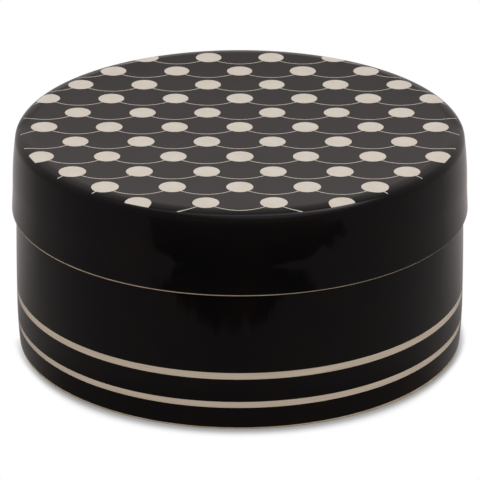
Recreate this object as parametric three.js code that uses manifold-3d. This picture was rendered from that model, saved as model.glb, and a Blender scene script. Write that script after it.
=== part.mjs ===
// A low round ceramic jar with a lid that lifts off. Both are cream clay with a black coat of slip
// over the outside. The slip is scraped away again to the clay for the pattern on the lid and for two
// stripes round the wall, and it is wiped off the foot and off the lid's rim.
// Millimetres, +Z up. The jar stands on z = 0, and its axis is Z.
import * as THREE from 'three';
import { mergeVertices, toCreasedNormals } from 'three/addons/utils/BufferGeometryUtils.js';
import Module from 'manifold-3d';

// The jar
const seatRadius = 75; // outside of the coated wall at the seat
const seatHeight = 47.85; // shoulder that carries the lid
const bellyWidth = 0.4; // how far the wall bows out below the seat
const bellyHeight = 16; // where it is widest
const footInset = 0.25; // how far the foot is drawn in from the seat's radius
const coatThickness = 0.35;
const wallThickness = 5.2; // clay alone
const floorThickness = 5;
const floorFillet = 6;
const shoulderThickness = 5;
const footRounding = 0.3;
const footBareHeight = 0.85; // wiped clean of slip
const footRingWidth = 7.5; // flat part that the jar stands on
const footRecess = 2.5; // hollow inside the foot ring

// The stripes round the wall, from the foot up
const lowerStripeBottom = 7.98;
const lowerStripeWidth = 2.1;
const stripeGap = 8.1; // black band between the stripes
const upperStripeWidth = 2.3;

// The collar inside the lid
const collarClearance = 0.7; // all round, to the lid's skirt
const collarThickness = 4;
const collarHeadroom = 8; // from its top to the lid's ceiling
const collarRounding = 1.2;

// The lid
const lidHeight = 27.6; // from the shoulder to the flat top
const lidOverhang = 1.45; // its rim past the jar's wall at the seat
const skirtThickness = 4.5; // clay alone, at the rim
const lidTopThickness = 5; // clay alone
const ceilingFillet = 5;
const rimRounding = 0.45; // wiped clean of slip
const flareHeight = 8; // straight part of the skirt above the rim
const flareWidth = 0.38; // how far that part leans out
const bowAngle = THREE.MathUtils.degToRad(7.5); // turn of the bowed side above the flare
const edgeRadius = 3.25; // where the side turns into the top
const crownRadius = 15; // soft fall of the top before that edge
const crownAngle = THREE.MathUtils.degToRad(12);

// The pattern on the lid: rows of dots with a swag hanging between each pair
const dotRadius = 4.4;
const dotGap = 12.95; // between two dots of a row
const swagDepth = 6.2;
const swagGap = 2.3; // from a swag to the dot of the next row
const lineWidth = 0.45;
const patternOverEdge = 0.85; // how far the pattern runs on past the start of the lid's edge

// Facets
const turns = 64; // round the axis
const dotSides = 10;
const swagDivisions = 4;
const crownSteps = 1;
const smallArcSteps = 2;
const wallStep = 10; // longest facet up the wall
const arcSteps = 3;
const edgeSteps = 4;
const creaseAngle = THREE.MathUtils.degToRad(30);

// Sizes of the jar that follow
const innerRadius = seatRadius - coatThickness - wallThickness;
const bellyRadius = seatRadius + bellyWidth;
const footFlatRadius = wallRadius(footRounding) - footRounding;
const lowerStripeTop = lowerStripeBottom + lowerStripeWidth;
const upperStripeBottom = lowerStripeTop + stripeGap;
const upperStripeTop = upperStripeBottom + upperStripeWidth;

// Sizes of the lid that follow. Its outline is a chain of arcs that run smoothly into each other: the
// crown, the edge and the bowed side, which ends upright at the top of the straight flare.
const lidTop = seatHeight + lidHeight;
const rimRadius = seatRadius + lidOverhang;
const coatBottom = seatHeight + rimRounding;
const sideAngle = Math.PI / 2 - bowAngle;
const flareTop = seatHeight + flareHeight;
const edgeStartHeight = lidTop - crownRadius * (1 - Math.cos(crownAngle));
const edgeCentreHeight = edgeStartHeight - edgeRadius * Math.cos(crownAngle);
const edgeEndHeight = edgeCentreHeight + edgeRadius * Math.cos(sideAngle);
const bowRadius = (edgeEndHeight - flareTop) / Math.cos(sideAngle);
const bowCentre = rimRadius - flareWidth - bowRadius;
const edgeCentre = bowCentre + (bowRadius - edgeRadius) * Math.sin(sideAngle);
const edgeStart = edgeCentre + edgeRadius * Math.sin(crownAngle);
const crownCentre = edgeStart - crownRadius * Math.sin(crownAngle);

// Sizes that fit the lid and the collar to each other
const skirtInnerRadius = rimRadius - coatThickness - skirtThickness;
const collarRadius = skirtInnerRadius - collarClearance;
const collarInnerRadius = collarRadius - collarThickness;
const ceilingHeight = lidTop - coatThickness - lidTopThickness;
const collarTop = ceilingHeight - collarHeadroom;

// Sizes of the pattern that follow
const dotSpacing = 2 * dotRadius + dotGap;
const rowSpacing = dotRadius + swagDepth + swagGap;
const swagRadius = (dotSpacing ** 2 / 4 + swagDepth ** 2) / (2 * swagDepth);
const swagHalfAngle = Math.atan2(dotSpacing / 2, swagRadius - swagDepth);
const patternRadius = edgeStart + patternOverEdge;
const cutterReach = edgeRadius; // above and below the lid's flat top

const wasm = await Module();
wasm.setup();

const clay = new THREE.MeshStandardMaterial({ color: '#d5cbbf', roughness: 0.35, metalness: 0 });
const blackSlip = new THREE.MeshStandardMaterial({ color: '#0e0d0d', roughness: 0.08, metalness: 0 });

function point(radius, height) {
  return new THREE.Vector2(radius, height);
}

// Points on an arc in the plane of a profile. Angles are measured from straight up, towards the outside.
function arc(centreRadius, centreHeight, radius, from, to, steps) {
  const points = [];
  for (let i = 0; i <= steps; i++) {
    const angle = from + ((to - from) * i) / steps;
    points.push(point(centreRadius + radius * Math.sin(angle), centreHeight + radius * Math.cos(angle)));
  }
  return points;
}

// Turns a profile round the jar's axis. A profile runs outwards below, up the outside and back inwards.
function turned(profile) {
  const geometry = new THREE.LatheGeometry(profile, turns);
  geometry.rotateX(Math.PI / 2);
  return geometry;
}

// Turns a profile that closes on itself into a ring.
function turnedRing(profile) {
  return turned([...profile, profile[0].clone()]);
}

// The radius of the wall's outer surface, which bows out between the foot and the seat.
function wallRadius(height) {
  const above = height > bellyHeight;
  const fall = above ? bellyWidth : bellyWidth + footInset;
  const span = above ? seatHeight - bellyHeight : bellyHeight;
  return bellyRadius - fall * ((height - bellyHeight) / span) ** 2;
}

// The wall's outline between two heights, set in from the outer surface by inset.
function wallOutline(inset, bottom, top) {
  const steps = Math.ceil((top - bottom) / wallStep);
  const points = [];
  for (let i = 0; i <= steps; i++) {
    const height = bottom + ((top - bottom) * i) / steps;
    points.push(point(wallRadius(height) - inset, height));
  }
  return points;
}

// The lid's outline from the axis down to the top of the flare, set in from the outer surface by inset.
function lidOutline(inset) {
  const crownHeight = lidTop - crownRadius;
  const crown = arc(crownCentre, crownHeight, crownRadius - inset, 0, crownAngle, crownSteps);
  const edge = arc(edgeCentre, edgeCentreHeight, edgeRadius - inset, crownAngle, sideAngle, edgeSteps);
  const side = arc(bowCentre, flareTop, bowRadius - inset, sideAngle, Math.PI / 2, arcSteps);
  return [point(0, lidTop - inset), ...crown, ...edge.slice(1), ...side.slice(1)];
}

function jarBody() {
  const ringInner = footFlatRadius - footRingWidth;
  const rounding = Math.min(collarRounding, 0.45 * collarThickness);
  const roundingHeight = collarTop - rounding;
  const slopeTop = seatHeight - shoulderThickness;
  const slopeBottom = slopeTop - Math.abs(innerRadius - collarInnerRadius);
  const floorTop = footRecess + floorThickness;
  const filletCentre = innerRadius - floorFillet;
  const bottoms = [footBareHeight, lowerStripeBottom, lowerStripeTop, upperStripeBottom, upperStripeTop];
  const tops = [...bottoms.slice(1), seatHeight];
  const underSlip = bottoms.flatMap((bottom, i) => wallOutline(coatThickness, bottom, tops[i]).slice(1));
  return turned([
    point(0, footRecess),
    point(ringInner - footRecess, footRecess),
    point(ringInner, 0),
    ...arc(footFlatRadius, footRounding, footRounding, Math.PI, Math.PI / 2, smallArcSteps),
    point(wallRadius(footBareHeight), footBareHeight),
    point(wallRadius(footBareHeight) - coatThickness, footBareHeight),
    ...underSlip,
    point(collarRadius, seatHeight),
    ...arc(collarRadius - rounding, roundingHeight, rounding, Math.PI / 2, 0, smallArcSteps),
    ...arc(collarInnerRadius + rounding, roundingHeight, rounding, 0, -Math.PI / 2, smallArcSteps),
    point(collarInnerRadius, slopeTop),
    point(innerRadius, slopeBottom),
    ...arc(filletCentre, floorTop + floorFillet, floorFillet, Math.PI / 2, Math.PI, arcSteps),
    point(0, floorTop),
  ]);
}

// A band of slip between two heights on the wall.
function wallBand(bottom, top) {
  return turnedRing([...wallOutline(0, bottom, top), ...wallOutline(coatThickness, bottom, top).reverse()]);
}

function lidBody() {
  const filletCentre = skirtInnerRadius - ceilingFillet;
  const filletHeight = ceilingHeight - ceilingFillet;
  return turned([
    point(0, ceilingHeight),
    ...arc(filletCentre, filletHeight, ceilingFillet, 0, Math.PI / 2, arcSteps),
    point(skirtInnerRadius, seatHeight),
    ...arc(rimRadius - rimRounding, coatBottom, rimRounding, Math.PI, Math.PI / 2, smallArcSteps),
    point(rimRadius - coatThickness, coatBottom),
    ...lidOutline(coatThickness).reverse(),
  ]);
}

function solidOf(geometry) {
  const bare = geometry.clone();
  bare.deleteAttribute('normal');
  bare.deleteAttribute('uv');
  const merged = mergeVertices(bare);
  const index = merged.index.array;
  const triangles = [];
  for (let i = 0; i < index.length; i += 3) {
    const [a, b, c] = index.slice(i, i + 3);
    if (a !== b && b !== c && c !== a) triangles.push(a, b, c);
  }
  const vertProperties = new Float32Array(merged.attributes.position.array);
  const triVerts = new Uint32Array(triangles);
  return new wasm.Manifold(new wasm.Mesh({ numProp: 3, vertProperties, triVerts }));
}

function geometryOf(solid) {
  const mesh = solid.getMesh();
  const geometry = new THREE.BufferGeometry();
  geometry.setAttribute('position', new THREE.BufferAttribute(mesh.vertProperties, 3));
  geometry.setIndex(new THREE.BufferAttribute(mesh.triVerts, 1));
  return geometry;
}

// An upright round cutter through the coat on the lid's top.
function roundCutter(x, y, radius, sides) {
  const geometry = new THREE.CylinderGeometry(radius, radius, 2 * cutterReach, sides);
  geometry.rotateX(Math.PI / 2);
  geometry.translate(x, y, lidTop);
  return solidOf(geometry);
}

// A thin arc that hangs towards -Y from the dot at x, y to the next dot in its row.
function swagCutter(x, y) {
  const left = -Math.PI / 2 - swagHalfAngle;
  const right = -Math.PI / 2 + swagHalfAngle;
  const shape = new THREE.Shape();
  shape.absarc(0, 0, swagRadius + lineWidth / 2, left, right, false);
  shape.absarc(0, 0, swagRadius - lineWidth / 2, right, left, true);
  const options = { depth: 2 * cutterReach, bevelEnabled: false, curveSegments: swagDivisions };
  const geometry = new THREE.ExtrudeGeometry(shape, options);
  geometry.translate(x + dotSpacing / 2, y - swagDepth + swagRadius, lidTop - cutterReach);
  return solidOf(geometry);
}

// All dots and swags, with alternate rows half a spacing along, cut off at the circle that ends the
// pattern. A dot whose middle lies outside that circle by more than half its radius is left out.
function patternCutter() {
  const reach = patternRadius + dotRadius / 2;
  const rows = Math.ceil(reach / rowSpacing);
  const columns = Math.ceil(reach / dotSpacing) + 1;
  const cutters = [];
  for (let row = -rows; row <= rows; row++) {
    const y = row * rowSpacing;
    const shift = row % 2 === 0 ? 0 : dotSpacing / 2;
    for (let column = -columns; column <= columns; column++) {
      const x = column * dotSpacing + shift;
      const dotShows = Math.hypot(x, y) < reach;
      const nextShows = Math.hypot(x + dotSpacing, y) < reach;
      const swagShows = Math.hypot(x + dotSpacing / 2, y - swagDepth) < patternRadius;
      if (dotShows) cutters.push(roundCutter(x, y, dotRadius, dotSides));
      if (dotShows || nextShows || swagShows) cutters.push(swagCutter(x, y));
    }
  }
  return wasm.Manifold.union(cutters).intersect(roundCutter(0, 0, patternRadius, turns));
}

function lidCoat() {
  const shell = turned([
    ...lidOutline(coatThickness),
    point(rimRadius - coatThickness, coatBottom),
    point(rimRadius, coatBottom),
    ...lidOutline(0).reverse(),
  ]);
  return geometryOf(solidOf(shell).subtract(patternCutter()));
}

const jar = new THREE.Group();
const lid = new THREE.Group();
jar.add(lid);

function piece(name, geometry, material, group) {
  const mesh = new THREE.Mesh(toCreasedNormals(geometry, creaseAngle), material);
  mesh.name = name;
  group.add(mesh);
}

piece('jar_body', jarBody(), clay, jar);
piece('coat_foot_band', wallBand(footBareHeight, lowerStripeBottom), blackSlip, jar);
piece('coat_between_stripes', wallBand(lowerStripeTop, upperStripeBottom), blackSlip, jar);
piece('coat_upper_wall', wallBand(upperStripeTop, seatHeight), blackSlip, jar);
piece('lid_body', lidBody(), clay, lid);
piece('lid_coat', lidCoat(), blackSlip, lid);

export default jar;
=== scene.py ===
# %% [markdown]
# A low round ceramic jar with a lift-off lid, in black and cream. The clay is cream. Both pieces were
# coated with black slip, which is liquid clay, and the slip was scraped away again to draw the pattern
# and the stripes. A clear gloss glaze covers everything but the foot, the seat and the lid's rim.
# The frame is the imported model: its sizes are read below, and its solids are replaced by fine ones.

import math

import bpy
from mathutils import Matrix, Vector


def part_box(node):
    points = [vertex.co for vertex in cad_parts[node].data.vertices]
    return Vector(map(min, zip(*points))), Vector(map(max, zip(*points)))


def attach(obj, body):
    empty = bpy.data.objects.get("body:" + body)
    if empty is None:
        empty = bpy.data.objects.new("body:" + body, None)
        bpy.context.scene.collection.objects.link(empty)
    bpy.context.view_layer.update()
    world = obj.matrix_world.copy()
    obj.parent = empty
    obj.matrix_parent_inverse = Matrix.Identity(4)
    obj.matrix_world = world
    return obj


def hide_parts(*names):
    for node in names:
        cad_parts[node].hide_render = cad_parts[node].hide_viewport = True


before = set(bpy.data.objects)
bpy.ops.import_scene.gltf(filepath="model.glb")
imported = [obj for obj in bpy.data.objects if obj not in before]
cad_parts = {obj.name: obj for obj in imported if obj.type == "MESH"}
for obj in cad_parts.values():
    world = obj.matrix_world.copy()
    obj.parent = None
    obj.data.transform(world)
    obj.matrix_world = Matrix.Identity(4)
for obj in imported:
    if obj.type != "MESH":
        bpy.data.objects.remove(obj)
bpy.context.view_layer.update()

# %% [markdown]
# Heights and radii that the frame holds are read from its nodes' boxes, so that the fine pieces can't
# drift from it. The rest are the jar's own sizes. All are in millimetres, as a potter would measure
# them, and are turned into metres only when a mesh or a node needs them.

# %% Sizes
MM = 0.001


def box_mm(node):
    """The lowest and the highest corner of a node's box."""
    low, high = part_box(node)
    return Vector(low) / MM, Vector(high) / MM


foot_band_low, foot_band_high = box_mm("coat_foot_band")
middle_band_low, middle_band_high = box_mm("coat_between_stripes")
wall_coat_low, wall_coat_high = box_mm("coat_upper_wall")
lid_coat_low, lid_coat_high = box_mm("lid_coat")

BELLY_RADIUS = wall_coat_high.x
SEAT_HEIGHT = wall_coat_high.z
FOOT_BARE_HEIGHT = foot_band_low.z
COLLAR_TOP = box_mm("jar_body")[1].z
RIM_RADIUS = lid_coat_high.x
LID_COAT_BOTTOM = lid_coat_low.z
LID_TOP = lid_coat_high.z

# The slip's skin is drawn thinner than it is, because the glaze fills the scraped marks almost level.
# Its hidden side stays just off the clay, so that no two surfaces coincide.
SLIP = 0.04
SLIP_GAP = 0.006
SLIP_EDGE = 0.02

BELLY_WIDTH = 0.4
BELLY_HEIGHT = 16.0
FOOT_INSET = 0.25
WALL = 5.2
FLOOR = 5.0
FLOOR_FILLET = 6.0
SHOULDER = 5.0
FOOT_ROUNDING = 0.3
FOOT_BARE_SPARE = 0.5
FOOT_RING = 7.5
FOOT_RECESS = 2.5
COAT = 0.35
SKIRT = 4.5
COLLAR_CLEARANCE = 0.7
COLLAR = 4.0
COLLAR_ROUNDING = 1.2
LID_THICKNESS = 5.0
CEILING_FILLET = 5.0
FLARE_HEIGHT = 8.0
FLARE_WIDTH = 0.38
BOW_TURN = 7.5
EDGE_RADIUS = 3.25
CROWN_RADIUS = 15.0
CROWN_TURN = 12.0

SEAT_RADIUS = BELLY_RADIUS - BELLY_WIDTH
INNER_RADIUS = SEAT_RADIUS - COAT - WALL
SKIRT_INNER = RIM_RADIUS - COAT - SKIRT
COLLAR_RADIUS = SKIRT_INNER - COLLAR_CLEARANCE
COLLAR_INNER = COLLAR_RADIUS - COLLAR
CEILING = LID_TOP - COAT - LID_THICKNESS
print(f"wall {BELLY_RADIUS:.2f} mm, seat {SEAT_HEIGHT:.2f} mm, lid top {LID_TOP:.2f} mm")

# %% [markdown]
# The camera is a long lens a good way off, looking down at about 24 degrees. A catalogue picture is
# taken like that because a round thing seen from close by looks distorted. The jar stands in the
# middle of the lens, so the picture needs no shift.

# %% Camera
CAMERA_PLACE = (0.00005, -1.28567, 0.5938)
CAMERA_PITCH = 23.517
CAMERA_ROLL = 0.015
LENS = 311.8
SENSOR_WIDTH = 36.0
CLIP = (0.05, 20.0)

camera_data = bpy.data.cameras.new("catalogue_camera")
camera_data.lens = LENS
camera_data.sensor_width = SENSOR_WIDTH
camera_data.clip_start, camera_data.clip_end = CLIP
camera = bpy.data.objects.new("catalogue_camera", camera_data)
bpy.context.scene.collection.objects.link(camera)
tilt = Matrix.Rotation(math.radians(90 - CAMERA_PITCH), 4, "X")
roll = Matrix.Rotation(math.radians(CAMERA_ROLL), 4, "Z")
camera.matrix_world = Matrix.Translation(CAMERA_PLACE) @ tilt @ roll
bpy.context.scene.camera = camera
print(f"camera with a {LENS} mm lens, {camera.matrix_world.translation.length:.3f} m from the foot")

# %% [markdown]
# A few helpers serve every tree of nodes. Colours are written as sRGB hex, as a designer picks them, but
# shaders work in linear light, so one function turns them. Another adds a node, sets it up and links its
# inputs in one call. Short ones built on it stand for sums, soft steps, straight lines and mixed colours,
# which keeps a tree as short to read as a formula.

# %% Helpers for colours and nodes


def linear(colour):
    """An sRGB hex colour as linear red, green, blue and alpha."""
    parts = [int(colour[i : i + 2], 16) / 255 for i in (1, 3, 5)]
    light = [c / 12.92 if c <= 0.04045 else ((c + 0.055) / 1.055) ** 2.4 for c in parts]
    return (*light, 1.0)


def add(tree, kind, inputs=None, **settings):
    """Adds a node; each input takes a value, a socket to link from, or a list of sockets."""
    node = tree.nodes.new(kind)
    for name, value in settings.items():
        setattr(node, name, value)
    for key, value in (inputs or {}).items():
        sources = value if isinstance(value, list) else [value]
        if not isinstance(sources[0], bpy.types.NodeSocket):
            node.inputs[key].default_value = value
            continue
        for source in sources:
            tree.links.new(source, node.inputs[key])
    return node


def compute(tree, operation, first, second=0.0, third=0.0):
    """A sum, product or other function of up to three numbers."""
    node = add(tree, "ShaderNodeMath", {0: first, 1: second, 2: third}, operation=operation)
    return node.outputs["Value"]


def vectors(tree, operation, *given):
    """A function of vectors. SCALE takes a vector and a number, and two operations make a number."""
    keys = (0, "Scale") if operation == "SCALE" else (0, 1, 2)
    node = add(tree, "ShaderNodeVectorMath", dict(zip(keys, given)), operation=operation)
    return node.outputs["Value" if operation in ("DOT_PRODUCT", "LENGTH") else "Vector"]


def between(tree, value, low, high):
    """0 up to `low`, 1 from `high` on, and a smooth step between them, which may also run downwards."""
    inputs = {"Value": value, "From Min": low, "From Max": high}
    return add(tree, "ShaderNodeMapRange", inputs, interpolation_type="SMOOTHSTEP").outputs["Result"]


def mapped(tree, value, low, high, start=0.0, end=1.0):
    """A straight line from `start`, up to `low`, to `end`, from `high` on."""
    inputs = {"Value": value, "From Min": low, "From Max": high, "To Min": start, "To Max": end}
    return add(tree, "ShaderNodeMapRange", inputs).outputs["Result"]


def blend(tree, mask, first, second):
    """The first colour where the mask is 0 and the second where it is 1."""
    inputs = {"Factor": mask, "A": first, "B": second}
    return add(tree, "ShaderNodeMix", inputs, data_type="RGBA").outputs[2]


print("half grey in linear light:", round(linear("#808080")[0], 3))

# %% [markdown]
# A studio for gloss. A black glaze shows almost nothing but what it mirrors, so what stands round it
# decides how it looks. The cream clay is matt under its glaze and needs soft light from all round. Lamps
# that suit the one would spoil the other, so the world gives each its own: mirrored rays see a room, the
# camera sees a white backdrop, and all other rays see this plain dome. It is brighter above than below,
# and a little brighter from the sides than from the front and the back, most of all from the right.

# %% Studio: what lights the clay
DOME_ABOVE = 1.0
DOME_BELOW = 0.3
HORIZON_BLUR = 0.15
FROM_AHEAD = 0.925
FROM_SIDES = 0.3
FROM_RIGHT = 0.05
WHITE = (1.0, 1.0, 1.0, 1.0)

world = bpy.data.worlds.new("studio")
world.use_nodes = True
bpy.context.scene.world = world
sky = world.node_tree
sky.nodes.clear()

look = add(sky, "ShaderNodeTexCoord").outputs["Generated"]
direction = add(sky, "ShaderNodeSeparateXYZ", {"Vector": look}).outputs
above = between(sky, direction["Z"], -HORIZON_BLUR, HORIZON_BLUR)
dome = compute(sky, "MULTIPLY_ADD", above, DOME_ABOVE - DOME_BELOW, DOME_BELOW)
sideways = compute(sky, "MULTIPLY_ADD", direction["X"], FROM_SIDES, FROM_RIGHT)
evenness = compute(sky, "MULTIPLY_ADD", sideways, direction["X"], FROM_AHEAD)
dome = compute(sky, "MULTIPLY", dome, evenness)
print("dome", DOME_ABOVE, "above and", DOME_BELOW, "below")

# %% [markdown]
# The room that the glaze mirrors. Its brightness is read off along three lines: for the side walls from
# the front (-1) to the back (+1), for what lies near the table likewise, and for the back wall from
# straight down (-1) to straight up (+1). It is dim in front and paler at the back, which makes the jar's
# wall nearly black in the middle and lighter towards its sides. The back wall is lit in a broad band, just
# where the lid's flat top mirrors it, a little less where the far part of the lid does, and least near
# the table.

# %% Studio: the room that the glaze mirrors
FRONT_TO_BACK = [
    (-1.00, 0.062),
    (-0.75, 0.078),
    (-0.45, 0.097),
    (-0.05, 0.125),
    (0.25, 0.168),
    (0.50, 0.205),
    (1.00, 0.205),
]
BACK_WALL = [
    (-1.00, 0.18),
    (-0.42, 0.21),
    (-0.385, 0.48),
    (0.00, 0.49),
    (0.392, 0.47),
    (0.43, 0.41),
    (0.60, 0.32),
    (1.00, 0.22),
]
NEAR_TABLE = [
    (-1.00, 0.054),
    (-0.45, 0.064),
    (0.25, 0.085),
    (0.50, 0.13),
    (1.00, 0.26),
]
TABLE_FROM, TABLE_TO = -0.41, -0.50
TABLE_TINT = (1.0, 0.93, 0.87)
BACK_FROM, BACK_TO = 0.5, 0.95
LID_NEAR, LID_FAR, LID_EDGE = 0.9215, 0.9345, 0.97
FAR_DIMMING = 0.39


def reading(value, stops):
    """A brightness read off between stops along a value that runs from -1 to 1."""
    along = compute(sky, "MULTIPLY_ADD", value, 0.5, 0.5)
    node = add(sky, "ShaderNodeValToRGB", {"Fac": along})
    for i, (place, brightness) in enumerate(stops):
        position = (place + 1) / 2
        stop = node.color_ramp.elements[i] if i < 2 else node.color_ramp.elements.new(position)
        stop.position = position
        stop.color = (brightness, brightness, brightness, 1.0)
    return node.outputs["Color"]


share = mapped(sky, direction["Y"], BACK_FROM, BACK_TO)
far = mapped(sky, direction["Y"], LID_NEAR, LID_FAR, 0.0, FAR_DIMMING)
far = compute(sky, "MULTIPLY", far, between(sky, direction["Y"], LID_EDGE, LID_FAR))
back = vectors(sky, "SCALE", reading(direction["Z"], BACK_WALL), compute(sky, "SUBTRACT", 1.0, far))
table = vectors(sky, "MULTIPLY", reading(direction["Y"], NEAR_TABLE), TABLE_TINT)
low = between(sky, direction["Z"], TABLE_FROM, TABLE_TO)
sides = blend(sky, low, reading(direction["Y"], FRONT_TO_BACK), table)
room = blend(sky, share, sides, back)
print("room read off at", len(FRONT_TO_BACK + BACK_WALL + NEAR_TABLE), "stops")

# %% [markdown]
# Three things stand in the room. A dark screen is in front of the jar, behind the camera, and keeps the
# middle of the wall deep; its outline is round, flattened above and below, and made ragged by noise. A
# soft round lamp is overhead, a little to the front and to the right. A strip lamp crosses above the jar
# from side to side, brighter towards the right, and draws the highlight along the lid's front edge,
# because a round edge mirrors such a strip as one long line.

# %% Studio: screen and lamps
SCREEN_MIDDLE = -0.1
SCREEN_WIDTH = 0.70
SCREEN_DEPTH = 0.286
SCREEN_ROUND = 2.0
SCREEN_FLAT = 6.0
SCREEN_SOFT = 0.15
SCREEN_RAGGED = 1.2
SCREEN_LUMPS = 7.0
SCREEN_DETAIL = 4.0
SCREEN_FRONT = (0.0, -0.3)
SCREEN_TOP = (0.1, -0.35)
LAMP_DIRECTION = (0.26, -0.20, 0.945)
LAMP_REACH = (0.80, 0.99)
LAMP = (0.26, 0.24, 0.27, 1.0)
STRIP_ALONG = [
    (-0.60, 0.00),
    (-0.30, 0.32),
    (0.20, 0.50),
    (0.40, 1.40),
    (0.62, 0.00),
]
STRIP_SLOPE = 0.1
STRIP_EDGE = (0.28, 0.10)
STRIP_TINT = (0.98, 0.97, 1.10)
ROOM_TINT = (1.07, 0.975, 0.955)
RIGHT_OVER_LEFT = 0.07
BLACK = (0.0, 0.0, 0.0, 1.0)

across = compute(sky, "POWER", compute(sky, "DIVIDE", direction["X"], SCREEN_WIDTH), SCREEN_ROUND)
down = compute(sky, "DIVIDE", compute(sky, "SUBTRACT", direction["Z"], SCREEN_MIDDLE), SCREEN_DEPTH)
down = compute(sky, "POWER", down, SCREEN_FLAT)
lumpy = {"Vector": look, "Scale": SCREEN_LUMPS, "Detail": SCREEN_DETAIL}
lumps = compute(sky, "SUBTRACT", add(sky, "ShaderNodeTexNoise", lumpy).outputs["Fac"], 0.5)
outline = compute(sky, "MULTIPLY_ADD", lumps, SCREEN_RAGGED, compute(sky, "ADD", across, down))
screen = between(sky, outline, 1 + SCREEN_SOFT, 1 - SCREEN_SOFT)
screen = compute(sky, "MULTIPLY", screen, between(sky, direction["Y"], *SCREEN_FRONT))
screen = compute(sky, "MULTIPLY", screen, between(sky, direction["Z"], *SCREEN_TOP))
leaning = compute(sky, "MULTIPLY_ADD", direction["X"], RIGHT_OVER_LEFT, 1.0)
tint = vectors(sky, "SCALE", ROOM_TINT, leaning)
walls = vectors(sky, "MULTIPLY", blend(sky, screen, room, BLACK), tint)

near_lamp = between(sky, vectors(sky, "DOT_PRODUCT", look, LAMP_DIRECTION), *LAMP_REACH)
lamp = blend(sky, near_lamp, BLACK, LAMP)
slope = compute(sky, "SUBTRACT", compute(sky, "DIVIDE", direction["Y"], direction["Z"]), STRIP_SLOPE)
width = between(sky, compute(sky, "ABSOLUTE", slope), *STRIP_EDGE)
overhead = compute(sky, "MULTIPLY", width, compute(sky, "GREATER_THAN", direction["Z"], 0.0))
strip = vectors(sky, "SCALE", reading(direction["X"], STRIP_ALONG), overhead)
lamps = vectors(sky, "MULTIPLY_ADD", strip, STRIP_TINT, lamp)
mirrored = vectors(sky, "ADD", walls, lamps)

ray = add(sky, "ShaderNodeLightPath").outputs
lit = blend(sky, ray["Is Glossy Ray"], dome, mirrored)
seen = blend(sky, ray["Is Camera Ray"], lit, WHITE)
light = add(sky, "ShaderNodeBackground", {"Color": seen})
add(sky, "ShaderNodeOutputWorld", {"Surface": light.outputs["Background"]})

bpy.context.scene.view_settings.view_transform = "Standard"
print("studio", world.name, "in a tree of", len(sky.nodes), "nodes")

# %% [markdown]
# The floor is a plain white sheet that glows pure white, as in a catalogue picture. The jar's shadow
# on it is painted into that glow: a soft grey line where the foot stands, and a dark hairline at the
# contact itself. Both are painted by how closed in each point of the sheet is, within a few millimetres.
# The painted line is wider in front than at the sides and starts later at the left, as under light from
# a little behind. The jar doesn't mirror the sheet, because the room above decides that.

# %% Floor
FLOOR_REACH = 6.0
SHADOW_SIDE = 2.9
SHADOW_FRONT = 7.1
SHADOW_WIDENS = (0.36, 1.0)
SHADOW_TURN = 7.0
SHADOW_STARTS = (-0.06, 0.44)
SHADOW_FADE = 0.46
SHADOW_DEEPEST = 0.34
CONTACT_OPEN = (0.1, 0.45)
CONTACT_LIGHT = 0.05
HALF_OPEN = 0.5

sheet = bpy.data.meshes.new("paper_floor")
corners = [(-1, -1), (1, -1), (1, 1), (-1, 1)]
sheet.from_pydata([(x * FLOOR_REACH, y * FLOOR_REACH, 0.0) for x, y in corners], [], [(0, 1, 2, 3)])
floor = bpy.data.objects.new("paper_floor", sheet)
bpy.context.scene.collection.objects.link(floor)
floor.visible_glossy = False
floor.visible_diffuse = False

paper = bpy.data.materials.new("white_paper")
paper.use_nodes = True
paper_tree = paper.node_tree
paper_tree.nodes.clear()
place = add(paper_tree, "ShaderNodeTexCoord").outputs["Object"]


def facing(angle):
    """1 in front of the jar, 0 beside it and -1 behind, turned to the right by an angle."""
    ahead = (math.sin(angle), -math.cos(angle), 0.0)
    along = vectors(paper_tree, "DOT_PRODUCT", place, ahead)
    return compute(paper_tree, "DIVIDE", along, BELLY_RADIUS * MM)


# Painted shadow: the sheet's glow is dimmed where the sheet is closed in, widest in front, and dimmed almost
# to black at the contact.
widening = between(paper_tree, facing(0.0), *SHADOW_WIDENS)
reach = mapped(paper_tree, widening, 0.0, 1.0, SHADOW_SIDE * MM, SHADOW_FRONT * MM)
openness = add(paper_tree, "ShaderNodeAmbientOcclusion", {"Distance": reach}).outputs["AO"]
onset = mapped(paper_tree, facing(math.radians(SHADOW_TURN)), *SHADOW_STARTS)
depth = compute(paper_tree, "POWER", onset, SHADOW_FADE)
depth = compute(paper_tree, "MULTIPLY", depth, SHADOW_DEEPEST - 1)
closed_in = between(paper_tree, openness, 1.0, HALF_OPEN)
shaded = compute(paper_tree, "MULTIPLY_ADD", depth, closed_in, 1.0)
contact = mapped(paper_tree, openness, *CONTACT_OPEN, CONTACT_LIGHT, 1.0)
painted_shadow = compute(paper_tree, "MULTIPLY", shaded, contact)
glow = add(paper_tree, "ShaderNodeEmission", {"Color": WHITE, "Strength": painted_shadow})
add(paper_tree, "ShaderNodeOutputMaterial", {"Surface": glow.outputs["Emission"]})
sheet.materials.append(paper)
print("floor", 2 * FLOOR_REACH, "m across")

# %% [markdown]
# All the glazed finishes share one build. A clear glaze is glass: smooth, with an index of 1.5, and the
# colour lies under it. The shader's coat layer is that glass, and what is beneath stays matt. Melted
# glaze is never optically flat, so a very low, wide wave and a faint peel bend what it mirrors.

# %% Helpers for finishes
GLAZE_IOR = 1.5
GLAZE_ROUGHNESS = 0.03
UNDER_ROUGHNESS = 0.6
WAVE_LENGTH = 26.0
WAVE_RISE = 0.03
PEEL_LENGTH = 2.5
PEEL_RISE = 0.0004


def new_finish(name):
    """A material with an empty tree, and the object coordinates that its patterns use."""
    finish = bpy.data.materials.new(name)
    finish.use_nodes = True
    finish.node_tree.nodes.clear()
    place = add(finish.node_tree, "ShaderNodeTexCoord").outputs["Object"]
    return finish, finish.node_tree, place


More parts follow.
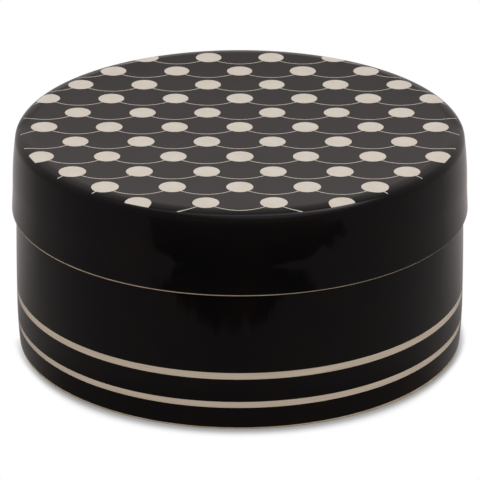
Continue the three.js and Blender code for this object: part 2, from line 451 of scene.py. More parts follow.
def noise(tree, place, size, **more):
    """Soft noise whose lumps are about `size` millimetres across."""
    inputs = {"Vector": place, "Scale": 1 / (size * MM), **more}
    return add(tree, "ShaderNodeTexNoise", inputs).outputs["Fac"]


def bump(tree, height, rise, under=None):
    """A normal from a height of 0 to 1 that stands for `rise` millimetres."""
    inputs = {"Height": height, "Distance": rise * MM}
    if under:
        inputs["Normal"] = under
    return add(tree, "ShaderNodeBump", inputs).outputs["Normal"]


def melted(tree, place):
    """The normal of melted glaze."""
    wave = bump(tree, noise(tree, place, WAVE_LENGTH, Detail=0.0), WAVE_RISE)
    return bump(tree, noise(tree, place, PEEL_LENGTH, Detail=0.0), PEEL_RISE, wave)


def specks(tree, place, spacing, radius, share):
    """A mask of round specks, at most one in each cell of `spacing` mm, and in `share` of the cells."""
    cells = add(tree, "ShaderNodeTexVoronoi", {"Vector": place, "Scale": 1 / (spacing * MM)})
    inside = compute(tree, "LESS_THAN", cells.outputs["Distance"], radius / spacing)
    random = add(tree, "ShaderNodeSeparateColor", {"Color": cells.outputs["Color"]})
    kept = compute(tree, "LESS_THAN", random.outputs["Red"], share)
    return compute(tree, "MULTIPLY", inside, kept)


def close(tree, inputs):
    """Closes a tree with one shader."""
    shader = add(tree, "ShaderNodeBsdfPrincipled", inputs)
    add(tree, "ShaderNodeOutputMaterial", {"Surface": shader.outputs["BSDF"]})


def glaze_over(tree, colour, normal):
    """Closes a tree with the clear glaze over a matt colour."""
    inputs = {
        "Base Color": colour,
        "Roughness": UNDER_ROUGHNESS,
        "Specular IOR Level": 0.0,
        "Coat Weight": 1.0,
        "Coat Roughness": GLAZE_ROUGHNESS,
        "Coat IOR": GLAZE_IOR,
        "Coat Normal": normal,
    }
    close(tree, inputs)


print(f"a wave of {WAVE_LENGTH} mm rises {WAVE_RISE} mm, and a peel of {PEEL_LENGTH} mm {PEEL_RISE} mm")

# %% [markdown]
# Black slip is clay stained with iron and manganese. Fired under a clear glaze it is a warm black that
# takes its life from the gloss. Up close its tone clouds a little, and a few grains burned out paler.

# %% Finish: black slip under clear gloss glaze
SLIP_BLACK = "#0e0c0d"
SLIP_BROWN = "#120e0c"
SLIP_GRAIN = "#332d29"
SLIP_CLOUD = 14.0
SLIP_CLOUD_STEP = (0.4, 0.7)
GRAIN_SPACING = 9.0
GRAIN_RADIUS = 0.16
GRAIN_SHARE = 0.5

black_slip, tree, place = new_finish("glazed_black_slip")
cloud = between(tree, noise(tree, place, SLIP_CLOUD), *SLIP_CLOUD_STEP)
body_colour = blend(tree, cloud, linear(SLIP_BLACK), linear(SLIP_BROWN))
grains = specks(tree, place, GRAIN_SPACING, GRAIN_RADIUS, GRAIN_SHARE)
colour = blend(tree, grains, body_colour, linear(SLIP_GRAIN))
glaze_over(tree, colour, melted(tree, place))
print("finish", black_slip.name)

# %% [markdown]
# The clay under the same glaze is a warm cream. Stoneware clay holds fine grains of iron, which show as
# brown pinpricks, and its tone drifts a little from place to place.

# %% Finish: cream clay under clear gloss glaze
CREAM = "#dad0c4"
CREAM_DARK = "#d5cabc"
IRON = "#7a5c40"
CREAM_CLOUD = 5.0
CREAM_CLOUD_STEP = (0.35, 0.65)
IRON_SPACING = 5.0
IRON_RADIUS = 0.14
IRON_SHARE = 0.3

cream_clay, tree, place = new_finish("glazed_cream_clay")
cloud = between(tree, noise(tree, place, CREAM_CLOUD, Detail=4.0), *CREAM_CLOUD_STEP)
body_colour = blend(tree, cloud, linear(CREAM), linear(CREAM_DARK))
iron = specks(tree, place, IRON_SPACING, IRON_RADIUS, IRON_SHARE)
colour = blend(tree, iron, body_colour, linear(IRON))
glaze_over(tree, colour, melted(tree, place))
print("finish", cream_clay.name)

# %% [markdown]
# A stripe is cut on the wheel: a loop tool held still while the jar turns. Its cutting edge leaves fine
# rings, about four to a millimetre, and burnishes the clay to a slightly darker tan. The rings are a
# pattern of height alone, so the noise is squeezed flat along Z and left long round the wall.

# %% Finish: scraped stripe under clear gloss glaze
STRIPE_TAN = "#d2c2af"
STRIPE_DARK = "#c4b39d"
RING_HEIGHT = 0.25
RING_LENGTH = 18.0
RING_STEP = (0.35, 0.7)
RING_RISE = 0.004

stripe_clay, tree, place = new_finish("scraped_stripe_clay")
squeeze = (1 / RING_LENGTH, 1 / RING_LENGTH, 1 / RING_HEIGHT)
rings = noise(tree, vectors(tree, "MULTIPLY", place, squeeze), 1.0, Detail=2.0)
body_colour = blend(tree, between(tree, rings, *RING_STEP), linear(STRIPE_TAN), linear(STRIPE_DARK))
iron = specks(tree, place, IRON_SPACING, IRON_RADIUS, IRON_SHARE)
colour = blend(tree, iron, body_colour, linear(IRON))
glaze_over(tree, colour, bump(tree, rings, RING_RISE))
print("finish", stripe_clay.name)

# %% [markdown]
# Where glazed ware touches the kiln shelf or another piece, the glaze is wiped off before the firing,
# or it would stick. The bare clay there is dry and matt, a little darker, with a fine tooth of sand.

# %% Finish: bare wiped clay
BARE_TAN = "#c2af96"
BARE_CLOUD = "#b1997d"
BARE_DARK = "#a98f72"
BARE_CLOUD_STEP = (0.3, 0.7)
BARE_ROUGHNESS = 0.75
SAND = 0.35
SAND_STEP = (0.55, 0.8)
SAND_RISE = 0.02
CLAY_IOR = 1.5

bare_clay, tree, place = new_finish("bare_wiped_clay")
sand = noise(tree, place, SAND, Detail=3.0)
cloud = between(tree, noise(tree, place, CREAM_CLOUD, Detail=4.0), *BARE_CLOUD_STEP)
body_colour = blend(tree, cloud, linear(BARE_TAN), linear(BARE_CLOUD))
colour = blend(tree, between(tree, sand, *SAND_STEP), body_colour, linear(BARE_DARK))
tooth = bump(tree, sand, SAND_RISE)
close(tree, {"Base Color": colour, "Roughness": BARE_ROUGHNESS, "IOR": CLAY_IOR, "Normal": tooth})
print("finish", bare_clay.name)

# %% [markdown]
# Everything here is round, so everything is turned, as on a wheel: a profile is drawn once and swept
# round the axis. A profile is a chain of points and arcs, which runs out over the top, down the outside
# and back in underneath, and each stretch of it names its finish. A stretch starts on the point where the
# last one ended, so that welding them closes the skin. The sweep is a tree of nodes rather than a
# script's loop, so that a finer or coarser jar is one number away.

# %% Profiles
FINISHES = [cream_clay, stripe_clay, bare_clay, black_slip]
CREAM_ZONE, STRIPE_ZONE, BARE_ZONE, SLIP_ZONE = range(len(FINISHES))
DEGREES_PER_STEP = 5
SMALL_STEP = 15
SKIN_STEP = 30


def arc(centre, height, radius, start, end, step=DEGREES_PER_STEP):
    """Points on an arc of a profile. Angles are measured from straight up, towards the outside."""
    count = max(2, math.ceil(abs(end - start) / step))
    angles = [math.radians(start + (end - start) * i / count) for i in range(count + 1)]
    return [(centre + radius * math.sin(a), height + radius * math.cos(a)) for a in angles]


def profile_object(name, zones):
    """A mesh of plain edges in the plane of X and Z. Each zone is a finish and its points."""
    points, edges, marks = [], [], []
    for zone, outline in zones:
        first = len(points)
        points += [(radius * MM, 0.0, height * MM) for radius, height in outline]
        edges += [(i, i + 1) for i in range(first, len(points) - 1)]
        marks += [zone] * len(outline)
    mesh = bpy.data.meshes.new(name)
    mesh.from_pydata(points, edges, [])
    mesh.attributes.new("finish", "INT", "POINT").data.foreach_set("value", marks)
    piece = bpy.data.objects.new(name, mesh)
    bpy.context.scene.collection.objects.link(piece)
    return piece


print("a quarter of a round takes", len(arc(0.0, 0.0, 1.0, 0, 90)) - 1, "steps")

# %% [markdown]
# The sweeping tree. Each zone of the profile becomes a curve, and the curve is swept round a circle.
# Faces take their finish while the zones are still apart, and only then are the seams and the two poles
# welded. Edges that turn sharply stay crisp, and the rest is shaded smooth.

# %% Tree: turn a profile on the wheel
HUB = 10.0
TURNS = 360
WELD = 0.001
CRISP_ANGLE = 32.0
FIRST_INT, SECOND_INT = 2, 3


def new_tree(name, sockets):
    """A tree of geometry nodes with named inputs, and its input and output nodes."""
    made = bpy.data.node_groups.new(name, "GeometryNodeTree")
    made.interface.new_socket("Geometry", in_out="INPUT", socket_type="NodeSocketGeometry")
    made.interface.new_socket("Geometry", in_out="OUTPUT", socket_type="NodeSocketGeometry")
    for socket, kind in sockets.items():
        made.interface.new_socket(socket, in_out="INPUT", socket_type=f"NodeSocket{kind}")
    return made, made.nodes.new("NodeGroupInput").outputs, made.nodes.new("NodeGroupOutput").inputs


def smooth(tree, mesh, crisp_angle):
    """Shades a mesh smooth, apart from the edges that turn by more than the crisp angle."""
    soft = add(tree, "GeometryNodeSetShadeSmooth", {"Geometry": mesh}, domain="FACE")
    bend = add(tree, "GeometryNodeInputMeshEdgeAngle").outputs["Unsigned Angle"]
    sharp = add(tree, "FunctionNodeCompare", {"A": bend, "B": crisp_angle}, operation="GREATER_THAN")
    crisp = {"Geometry": soft.outputs["Geometry"], "Selection": sharp.outputs["Result"]}
    crisp["Shade Smooth"] = False
    return add(tree, "GeometryNodeSetShadeSmooth", crisp, domain="EDGE").outputs["Geometry"]


wheel_inputs = {"Turns": "Int", "Weld": "Float", "Crisp Angle": "Float"}
wheel, given, result = new_tree("turn_on_the_wheel", wheel_inputs)
laid_flat = {"Geometry": given["Geometry"], "Rotation": (math.pi / 2, 0, 0), "Translation": (-HUB * MM, 0, 0)}
drawn = add(wheel, "GeometryNodeTransform", laid_flat)
profile = add(wheel, "GeometryNodeMeshToCurve", {"Mesh": drawn.outputs["Geometry"]})
circle = add(wheel, "GeometryNodeCurvePrimitiveCircle", {"Resolution": given["Turns"], "Radius": HUB * MM})
swept = {"Curve": circle.outputs["Curve"], "Profile Curve": profile.outputs["Curve"]}
shape = add(wheel, "GeometryNodeCurveToMesh", swept).outputs["Mesh"]
mark = add(wheel, "GeometryNodeInputNamedAttribute", {"Name": "finish"}, data_type="INT").outputs["Attribute"]
kept = {"Geometry": shape, "Name": "finish", "Value": mark}
marked = add(wheel, "GeometryNodeStoreNamedAttribute", kept, data_type="INT", domain="FACE")
welded = add(wheel, "GeometryNodeMergeByDistance", {0: marked.outputs["Geometry"], "Distance": given["Weld"]})
turned = smooth(wheel, welded.outputs["Geometry"], given["Crisp Angle"])
shape = add(wheel, "GeometryNodeRealizeInstances", {"Geometry": turned}).outputs["Geometry"]
for zone, finish in enumerate(FINISHES):
    pair = {FIRST_INT: mark, SECOND_INT: zone}
    here = add(wheel, "FunctionNodeCompare", pair, data_type="INT", operation="EQUAL")
    covered = {"Geometry": shape, "Selection": here.outputs["Result"], "Material": finish}
    shape = add(wheel, "GeometryNodeSetMaterial", covered).outputs["Geometry"]
wheel.links.new(shape, result["Geometry"])
print("tree", wheel.name, "with", len(wheel.nodes), "nodes")

# %% [markdown]
# More helpers run a tree and keep what it makes. A modifier's inputs are set by the identifiers of their
# sockets, and the result is copied out as a plain mesh, because the export drops what is still an
# instance. The volume tells at once whether a shape has been turned inside out, and the count of open
# edges whether its skin is closed.

# %% Helpers that run a tree
ML_PER_CUBIC_METRE = 1e6


def apply_tree(piece, tree, values):
    """Adds the tree as a modifier, with its inputs' values by their names."""
    modifier = piece.modifiers.new(tree.name, "NODES")
    modifier.node_group = tree
    left = dict(values)
    for socket in tree.interface.items_tree:
        if socket.in_out == "INPUT" and socket.name in left:
            modifier[socket.identifier] = left.pop(socket.name)
    if left:
        raise ValueError(f"{tree.name} has no input named {sorted(left)}")


def volume_ml(mesh):
    """The volume that a closed mesh holds, in millilitres; it is below zero if inside out."""
    mesh.calc_loop_triangles()
    at = [vertex.co for vertex in mesh.vertices]
    corners = (triangle.vertices for triangle in mesh.loop_triangles)
    return sum(at[a].dot(at[b].cross(at[c])) for a, b, c in corners) / 6 * ML_PER_CUBIC_METRE


def open_edges(mesh):
    """How many edges have a face on one side only; a closed skin has none."""
    uses = [0] * len(mesh.edges)
    for loop in mesh.loops:
        uses[loop.edge_index] += 1
    return uses.count(1)


def keep_mesh(piece):
    """Replaces the profile and its modifiers by the plain mesh that they make."""
    evaluated = piece.evaluated_get(bpy.context.evaluated_depsgraph_get())
    made = bpy.data.meshes.new_from_object(evaluated)
    made.name = piece.name
    piece.modifiers.clear()
    piece.data = made
    volume, gaps = volume_ml(made), open_edges(made)
    print(f"{piece.name}: {len(made.loop_triangles)} triangles, {volume:.2f} ml, {gaps} open edges")
    return piece


def turn(name, zones):
    """Draws a profile and sets it on the wheel."""
    piece = profile_object(name, zones)
    apply_tree(piece, wheel, {"Turns": TURNS, "Weld": WELD * MM, "Crisp Angle": math.radians(CRISP_ANGLE)})
    return piece


print("wheel set to", TURNS, "steps a turn")

# %% [markdown]
# The jar's clay: floor, wall, the shoulder that carries the lid, and the collar that keeps it in place.
# It is glazed inside and in the hollow of the foot. The seat, the collar's outside and the foot ring
# are bare. The outside is the clay that the slip lies on, so it only shows at the two stripes. It bows
# out by less than half a millimetre and is drawn in again at the foot.

# %% Jar: clay
WALL_STEP = 1.0


def wall_radius(height):
    """The radius of the wall's outside, which is widest at the belly."""
    fall, span = BELLY_WIDTH + FOOT_INSET, BELLY_HEIGHT
    if height > BELLY_HEIGHT:
        fall, span = BELLY_WIDTH, SEAT_HEIGHT - BELLY_HEIGHT
    return BELLY_RADIUS - fall * ((height - BELLY_HEIGHT) / span) ** 2


def wall_outline(inset, top, bottom):
    """The wall's outside from the top down, set in by `inset`."""
    count = math.ceil((top - bottom) / WALL_STEP)
    heights = [top + (bottom - top) * i / count for i in range(count + 1)]
    return [(wall_radius(height) - inset, height) for height in heights]


foot_edge = wall_radius(FOOT_ROUNDING) - SLIP
foot_flat = foot_edge - FOOT_ROUNDING
ring_inner = foot_flat - FOOT_RING
bare_top = FOOT_BARE_HEIGHT + FOOT_BARE_SPARE
floor_top = FOOT_RECESS + FLOOR
floor_fillet = INNER_RADIUS - FLOOR_FILLET
slope_top = SEAT_HEIGHT - SHOULDER
slope_bottom = slope_top - (INNER_RADIUS - COLLAR_INNER)
rounding_height = COLLAR_TOP - COLLAR_ROUNDING

inside = [
    (0.0, floor_top),
    *arc(floor_fillet, floor_top + FLOOR_FILLET, FLOOR_FILLET, 180, 90),
    (INNER_RADIUS, slope_bottom),
    (COLLAR_INNER, slope_top),
    *arc(COLLAR_INNER + COLLAR_ROUNDING, rounding_height, COLLAR_ROUNDING, -90, 0),
]
seat = [
    inside[-1],
    *arc(COLLAR_RADIUS - COLLAR_ROUNDING, rounding_height, COLLAR_ROUNDING, 0, 90),
    (COLLAR_RADIUS, SEAT_HEIGHT),
    (SEAT_RADIUS - SLIP, SEAT_HEIGHT),
]
outside = wall_outline(SLIP, SEAT_HEIGHT, bare_top)
foot = [
    outside[-1],
    *arc(foot_flat, FOOT_ROUNDING, FOOT_ROUNDING, 90, 180, SMALL_STEP),
    (ring_inner, 0.0),
]
recess = [
    (ring_inner, 0.0),
    (ring_inner - FOOT_RECESS, FOOT_RECESS),
    (0.0, FOOT_RECESS),
]
jar_zones = [
    (CREAM_ZONE, inside),
    (BARE_ZONE, seat),
    (STRIPE_ZONE, outside),
    (BARE_ZONE, foot),
    (CREAM_ZONE, recess),
]
jar_clay = keep_mesh(turn("jar_clay", jar_zones))

# %% [markdown]
# Three bands of slip lie on the jar's wall, and the stripes are the bare spaces between them. Each band
# is a thin closed skin with softened edges, because the glaze rounds off every step. A ring close to
# each edge keeps the softening out of the shading of the rest.

# %% Jar: bands of slip
EDGE_SUPPORT = 0.1


def band(name, low, high):
    """A skin of slip on the wall, as high as a solid of the frame."""
    bottom, top = low.z, high.z
    inner = wall_outline(SLIP - SLIP_GAP, top, bottom)
    outline = [
        inner[0],
        *arc(wall_radius(top) - SLIP_EDGE, top - SLIP_EDGE, SLIP_EDGE, 0, 90, SKIN_STEP),
        *wall_outline(0.0, top - EDGE_SUPPORT, bottom + EDGE_SUPPORT),
        *arc(wall_radius(bottom) - SLIP_EDGE, bottom + SLIP_EDGE, SLIP_EDGE, 90, 180, SKIN_STEP),
        *reversed(inner),
    ]
    return keep_mesh(turn(name, [(SLIP_ZONE, outline)]))


foot_slip_band = band("foot_slip_band", foot_band_low, foot_band_high)
middle_slip_band = band("middle_slip_band", middle_band_low, middle_band_high)
wall_slip = band("wall_slip", wall_coat_low, wall_coat_high)

# %% [markdown]
# The edges of the slip were cut and wiped by hand, so none is quite level: each rises a little towards
# the right, and sags a little in front and behind. The list gives each edge's height and, in millimetres,
# its rise and its sag. An edge keeps to the wall as it moves, so its radius changes with its height.

# %% Jar: edges cut by hand
LEAN_REACH = 1.5
HAND_CUT_EDGES = [
    (foot_slip_band, foot_band_low.z, 0.18, 0.26),
    (foot_slip_band, foot_band_high.z, 0.18, 0.13),
    (middle_slip_band, middle_band_low.z, 0.30, 0.10),
    (middle_slip_band, middle_band_high.z, 0.08, 0.13),
    (wall_slip, wall_coat_low.z, 0.12, 0.16),
]


def lean(piece, height, rise, sag, radius_at=wall_radius):
    """Moves the edge at `height` up by `rise` at the right, and down by `sag` in front and behind."""
    for vertex in piece.data.vertices:
        x, y, z = vertex.co / MM
        radius = math.hypot(x, y)
        share = max(0.0, 1 - abs(z - height) / LEAN_REACH)
        moved = z + share * (rise * x / radius - sag * (y * y - x * x) / radius**2)
        wider = 1 + (radius_at(moved) - radius_at(z)) / radius
        vertex.co = Vector((x * wider, y * wider, moved)) * MM


for piece, height, rise, sag in HAND_CUT_EDGES:
    lean(piece, height, rise, sag)
    print(f"{piece.name}: the edge at {height:.2f} mm rises {rise:.2f} mm and sags {sag:.2f} mm")

# %% [markdown]
# The lid's side is a chain of arcs that run smoothly into each other: a barely crowned top, a tight
# edge, a long bowed side, and a straight flare down to the rim. Each arc is set in by the same amount
# to give the surface of the clay under the slip, so the two always fit.

# %% Lid: outline and clay
CROWN_STEP = 1
EDGE_STEP = 3
BOW_STEP = 1
RIM_BARE_SPARE = 0.4

side_turn = 90 - BOW_TURN
flare_top = SEAT_HEIGHT + FLARE_HEIGHT
crown, side = math.radians(CROWN_TURN), math.radians(side_turn)
edge_start_height = LID_TOP - CROWN_RADIUS * (1 - math.cos(crown))
edge_height = edge_start_height - EDGE_RADIUS * math.cos(crown)
bow_radius = (edge_height + EDGE_RADIUS * math.cos(side) - flare_top) / math.cos(side)
bow_centre = RIM_RADIUS - FLARE_WIDTH - bow_radius
edge_centre = bow_centre + (bow_radius - EDGE_RADIUS) * math.sin(side)
edge_start = edge_centre + EDGE_RADIUS * math.sin(crown)
crown_centre = edge_start - CROWN_RADIUS * math.sin(crown)


def lid_outline(inset):
    """The lid's outside from its axis to the top of the flare, set in by `inset`."""
    top = arc(crown_centre, LID_TOP - CROWN_RADIUS, CROWN_RADIUS - inset, 0, CROWN_TURN, CROWN_STEP)
    edge = arc(edge_centre, edge_height, EDGE_RADIUS - inset, CROWN_TURN, side_turn, EDGE_STEP)
    bow = arc(bow_centre, flare_top, bow_radius - inset, side_turn, 90, BOW_STEP)
    return [(0.0, LID_TOP - inset), *top, *edge[1:], *bow[1:]]


rim_rounding = LID_COAT_BOTTOM - SEAT_HEIGHT
lid_outside = [
    *lid_outline(SLIP),
    (RIM_RADIUS - SLIP, LID_COAT_BOTTOM + RIM_BARE_SPARE),
]
rim = [
    lid_outside[-1],
    (RIM_RADIUS - SLIP, LID_COAT_BOTTOM),
    *arc(RIM_RADIUS - rim_rounding, LID_COAT_BOTTOM, rim_rounding, 90, 180, SMALL_STEP),
    *arc(SKIRT_INNER + rim_rounding, SEAT_HEIGHT + rim_rounding, rim_rounding, 180, 270, SMALL_STEP),
]
ceiling_fillet = SKIRT_INNER - CEILING_FILLET
lid_inside = [
    rim[-1],
    *arc(ceiling_fillet, CEILING - CEILING_FILLET, CEILING_FILLET, 90, 0),
    (0.0, CEILING),
]
lid_zones = [(CREAM_ZONE, lid_outside), (BARE_ZONE, rim), (CREAM_ZONE, lid_inside)]
lid_clay = keep_mesh(turn("lid_clay", lid_zones))

# %% [markdown]
# The lid's slip starts as a plain turned skin, and a second tree scrapes the pattern through it. On a
# grid of points with every other row moved along by half a space, the tree sets a round cutter for each
# dot and a swept one for the line that hangs between two dots. Rays dropped on the lid lower each
# cutter onto the curve of its edge. One cut then takes them all away, inside the circle that ends the
# pattern, and the clay beneath shows through.

# %% Tree: scrape the pattern
CUTTER_MARGIN = 0.3
CUTTER_SLOPE = 0.35
DOT_SIDES = 64
DOT_RINGS = 6
SWAG_STEPS = 40
RAY_START = 10.0
BORDER_DEPTH = 3.0

pattern_inputs = {
    "Rows": "Int",
    "Columns": "Int",
    "Row Space": "Float",
    "Dot Space": "Float",
    "Dot Radius": "Float",
    "Swag Depth": "Float",
    "Swag Overlap": "Float",
    "Line Width": "Float",
    "Pattern Radius": "Float",
    "Lid Top": "Float",
    "Slip": "Float",
    "Hand Wobble": "Float",
    "Seed": "Int",
    "Crisp Angle": "Float",
}
scrape, given, result = new_tree("scrape_the_pattern", pattern_inputs)


def maths(operation, first, second=0.0, third=0.0):
    """A function of up to three numbers in the scraping tree."""
    return compute(scrape, operation, first, second, third)


def vector(x=0.0, y=0.0, z=0.0):
    """Three numbers joined into a vector."""
    return add(scrape, "ShaderNodeCombineXYZ", {"X": x, "Y": y, "Z": z}).outputs["Vector"]


row_space, dot_space = given["Row Space"], given["Dot Space"]
grid_size = {
    "Size X": maths("MULTIPLY", maths("SUBTRACT", given["Columns"], 1.0), dot_space),
    "Size Y": maths("MULTIPLY", maths("SUBTRACT", given["Rows"], 1.0), row_space),
    "Vertices X": given["Columns"],
    "Vertices Y": given["Rows"],
}
grid = add(scrape, "GeometryNodeMeshGrid", grid_size).outputs["Mesh"]
position = add(scrape, "GeometryNodeInputPosition").outputs["Position"]
at = add(scrape, "ShaderNodeSeparateXYZ", {"Vector": position}).outputs
row = maths("ROUND", maths("DIVIDE", at["Y"], row_space))
half_space = maths("MULTIPLY", dot_space, 0.5)
moved_along = vector(x=maths("MULTIPLY", maths("FLOORED_MODULO", row, 2.0), half_space))
staggered = {"Geometry": grid, "Offset": moved_along}
points = add(scrape, "GeometryNodeSetPosition", staggered).outputs["Geometry"]


def within(offset, limit):
    """Whether a point, moved by an offset, lies within a distance of the lid's axis."""
    distance = vectors(scrape, "LENGTH", vectors(scrape, "ADD", position, offset))
    return maths("LESS_THAN", distance, limit)


swag_depth, line_width, dot_radius = given["Swag Depth"], given["Line Width"], given["Dot Radius"]
dot_limit = maths("MULTIPLY_ADD", dot_radius, 0.5, given["Pattern Radius"])
dot_shows = within(vector(), dot_limit)
next_shows = within(vector(x=dot_space), dot_limit)
swag_middle = vector(x=half_space, y=maths("MULTIPLY", swag_depth, -1.0))
middle_shows = within(swag_middle, given["Pattern Radius"])
swag_shows = maths("MAXIMUM", middle_shows, maths("MAXIMUM", dot_shows, next_shows))
print("tree", scrape.name, "takes", len(pattern_inputs), "sizes")

# %% [markdown]
# The two cutters. Both are a little wider above the slip than below it, which gives every scraped edge
# a slope. They stand on the level of the slip's surface, and reach past it on both sides.

# %% Tree: the two cutters
margin = CUTTER_MARGIN * MM
cutter_depth = maths("ADD", given["Slip"], 2 * margin)
cutter_low = maths("MULTIPLY", maths("ADD", given["Slip"], margin), -1.0)
narrowing = maths("MULTIPLY", cutter_low, CUTTER_SLOPE)
cone_size = {
    "Vertices": DOT_SIDES,
    "Fill Segments": DOT_RINGS,
    "Radius Top": maths("ADD", dot_radius, CUTTER_SLOPE * margin),
    "Radius Bottom": maths("ADD", dot_radius, narrowing),
    "Depth": cutter_depth,
}
cone = add(scrape, "GeometryNodeMeshCone", cone_size, fill_type="TRIANGLE_FAN").outputs["Mesh"]
set_down = {"Geometry": cone, "Translation": vector(z=cutter_low)}
dot_cutter = add(scrape, "GeometryNodeTransform", set_down).outputs["Geometry"]

squares = maths("ADD", maths("POWER", half_space, 2.0), maths("POWER", swag_depth, 2.0))
swag_radius = maths("DIVIDE", squares, maths("MULTIPLY", swag_depth, 2.0))
swag_centre = maths("SUBTRACT", swag_radius, swag_depth)
full_turn = maths("ARCTAN2", half_space, swag_centre)
left_out = maths("DIVIDE", maths("SUBTRACT", dot_radius, given["Swag Overlap"]), swag_radius)
half_turn = maths("SUBTRACT", full_turn, left_out)
arc_size = {
    "Resolution": SWAG_STEPS,
    "Radius": swag_radius,
    "Start Angle": maths("SUBTRACT", -math.pi / 2, half_turn),
    "Sweep Angle": maths("MULTIPLY", half_turn, 2.0),
}
swag = add(scrape, "GeometryNodeCurveArc", arc_size, mode="RADIUS").outputs["Curve"]
blade_size = {
    "Height": cutter_depth,
    "Bottom Width": maths("ADD", line_width, 2 * CUTTER_SLOPE * margin),
    "Top Width": maths("MULTIPLY_ADD", narrowing, 2.0, line_width),
    "Offset": 0.0,
}
blade = add(scrape, "GeometryNodeCurvePrimitiveQuadrilateral", blade_size, mode="TRAPEZOID")
swept = {"Curve": swag, "Profile Curve": blade.outputs["Curve"], "Fill Caps": True}
swag_mesh = add(scrape, "GeometryNodeCurveToMesh", swept).outputs["Mesh"]
hung = vector(half_space, swag_centre, maths("MULTIPLY", given["Slip"], -0.5))
set_down = {"Geometry": swag_mesh, "Translation": hung}
swag_cutter = add(scrape, "GeometryNodeTransform", set_down).outputs["Geometry"]
print("cutters of", DOT_SIDES, "sides and", SWAG_STEPS, "steps")

# %% [markdown]
# The cutters are set out, lowered on to the lid and used. No two dots made by hand are quite alike, so
# each is moved and resized by a hair, with a fixed seed. The swags end inside the dots, which hides it.

# %% Tree: set out and cut
RANDOM_SOCKETS = {"FLOAT_VECTOR": (0, 0), "FLOAT": (2, 1)}


def random(kind, low, high):
    """A random value; each kind has its own limits and result among the node's sockets."""
    first, out = RANDOM_SOCKETS[kind]
    inputs = {first: low, first + 1: high, "Seed": given["Seed"]}
    return add(scrape, "FunctionNodeRandomValue", inputs, data_type=kind).outputs[out]


def lower(cutters):
    """Makes the copies real and lowers each of their points by as much as the lid falls away there."""
    real = add(scrape, "GeometryNodeRealizeInstances", {"Geometry": cutters}).outputs["Geometry"]
    radius = vectors(scrape, "LENGTH", vector(at["X"], at["Y"]))
    drawn_in = maths("MINIMUM", maths("DIVIDE", given["Pattern Radius"], radius), 1.0)
    x, y = maths("MULTIPLY", at["X"], drawn_in), maths("MULTIPLY", at["Y"], drawn_in)
    start = vector(x, y, maths("ADD", given["Lid Top"], RAY_START * MM))
    cast = {0: given["Geometry"], "Source Position": start, "Ray Length": 2 * RAY_START * MM}
    hit = add(scrape, "GeometryNodeRaycast", cast).outputs["Hit Position"]
    surface = add(scrape, "ShaderNodeSeparateXYZ", {"Vector": hit}).outputs["Z"]
    down = {"Geometry": real, "Offset": vector(z=surface)}
    return add(scrape, "GeometryNodeSetPosition", down).outputs["Geometry"]


def boolean(operation, inputs):
    """Meshes joined, shared or cut away; the solver needs them closed, which all of them are."""
    settings = {"operation": operation, "solver": "MANIFOLD"}
    return add(scrape, "GeometryNodeMeshBoolean", inputs, **settings).outputs["Mesh"]


wobble = given["Hand Wobble"]
less = maths("MULTIPLY", wobble, -1.0)
drift = random("FLOAT_VECTOR", vector(less, less), vector(wobble, wobble))
drifted = add(scrape, "GeometryNodeSetPosition", {"Geometry": points, "Offset": drift}).outputs["Geometry"]
bigger = maths("ADD", maths("DIVIDE", random("FLOAT", less, wobble), dot_radius), 1.0)
dot_size = vector(bigger, bigger, 1.0)
dot_copies = {"Points": drifted, "Selection": dot_shows, "Instance": dot_cutter, "Scale": dot_size}
dots = lower(add(scrape, "GeometryNodeInstanceOnPoints", dot_copies).outputs["Instances"])
swag_copies = {"Points": points, "Selection": swag_shows, "Instance": swag_cutter}
swags = lower(add(scrape, "GeometryNodeInstanceOnPoints", swag_copies).outputs["Instances"])

border_size = {"Vertices": TURNS, "Radius": given["Pattern Radius"], "Depth": BORDER_DEPTH * MM}
border = add(scrape, "GeometryNodeMeshCylinder", border_size).outputs["Mesh"]
raised = {"Geometry": border, "Translation": vector(z=given["Lid Top"])}
limit = add(scrape, "GeometryNodeTransform", raised).outputs["Geometry"]
cutters = boolean("UNION", {"Mesh 2": [dots, swags]})
drawing = boolean("INTERSECT", {"Mesh 2": [cutters, limit]})
scraped = boolean("DIFFERENCE", {"Mesh 1": given["Geometry"], "Mesh 2": drawing})
shaded = smooth(scrape, scraped, given["Crisp Angle"])
whole = add(scrape, "GeometryNodeRealizeInstances", {"Geometry": shaded}).outputs["Geometry"]
covered = add(scrape, "GeometryNodeSetMaterial", {"Geometry": whole, "Material": black_slip})
scrape.links.new(covered.outputs["Geometry"], result["Geometry"])
print("tree", scrape.name, "with", len(scrape.nodes), "nodes")

# %% [markdown]
# The pattern's own sizes: dots 8.8 mm across, swags 6.2 mm deep drawn with a line of 0.45 mm, and rows
# close enough that a swag almost meets the dots below it. The circle that ends the pattern lies just
# past the place where the lid's edge begins to turn. The slip's lower edge, at the rim, was wiped by hand
# as well, and drops a little towards the right.

# %% Lid: slip with its pattern
DOT_RADIUS = 4.4
DOT_GAP = 12.95
SWAG_DEPTH = 6.2
SWAG_GAP = 2.3
SWAG_OVERLAP = 1.5
LINE_WIDTH = 0.45
PATTERN_OVER_EDGE = 0.85
HAND_WOBBLE = 0.1
PATTERN_SEED = 7
SPARE_COLUMNS = 2
RIM_RISE = -0.17

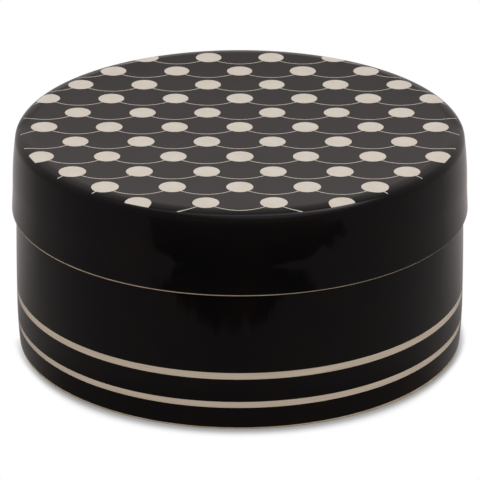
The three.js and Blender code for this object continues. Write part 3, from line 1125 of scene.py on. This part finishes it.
pattern_radius = edge_start + PATTERN_OVER_EDGE
dot_spacing = 2 * DOT_RADIUS + DOT_GAP
row_spacing = DOT_RADIUS + SWAG_DEPTH + SWAG_GAP
pattern_reach = pattern_radius + DOT_RADIUS / 2
slip_outline = [
    *lid_outline(0.0),
    (RIM_RADIUS, LID_COAT_BOTTOM),
    (RIM_RADIUS - SLIP + SLIP_GAP, LID_COAT_BOTTOM),
    *reversed(lid_outline(SLIP - SLIP_GAP)),
]
lid_slip = turn("lid_slip", [(SLIP_ZONE, slip_outline)])
pattern = {
    "Rows": 2 * math.ceil(pattern_reach / row_spacing) + 1,
    "Columns": 2 * math.ceil(pattern_reach / dot_spacing) + 1 + SPARE_COLUMNS,
    "Row Space": row_spacing * MM,
    "Dot Space": dot_spacing * MM,
    "Dot Radius": DOT_RADIUS * MM,
    "Swag Depth": SWAG_DEPTH * MM,
    "Swag Overlap": SWAG_OVERLAP * MM,
    "Line Width": LINE_WIDTH * MM,
    "Pattern Radius": pattern_radius * MM,
    "Lid Top": LID_TOP * MM,
    "Slip": SLIP * MM,
    "Hand Wobble": HAND_WOBBLE * MM,
    "Seed": PATTERN_SEED,
    "Crisp Angle": math.radians(CRISP_ANGLE),
}
apply_tree(lid_slip, scrape, pattern)
keep_mesh(lid_slip)
# The lid's side is all but upright at the rim, so its radius is left as it is.
lean(lid_slip, LID_COAT_BOTTOM, RIM_RISE, 0.0, lambda height: 0.0)

# %% [markdown]
# Each fine piece stands for one solid of the frame: it takes that solid's place, moves with its body
# and names the material slot it belongs to. The lid's two pieces lift off together.

# %% Hand the pieces to the frame
PIECES = [
    (jar_clay, "jar_body", "jar", "cream_clay"),
    (foot_slip_band, "coat_foot_band", "jar", "black_slip"),
    (middle_slip_band, "coat_between_stripes", "jar", "black_slip"),
    (wall_slip, "coat_upper_wall", "jar", "black_slip"),
    (lid_clay, "lid_body", "lid", "cream_clay"),
    (lid_slip, "lid_coat", "lid", "black_slip"),
]
for piece, node, body, slot in PIECES:
    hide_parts(node)
    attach(piece, body)
    print(f"{piece.name} stands for {node} and rides on {body}")
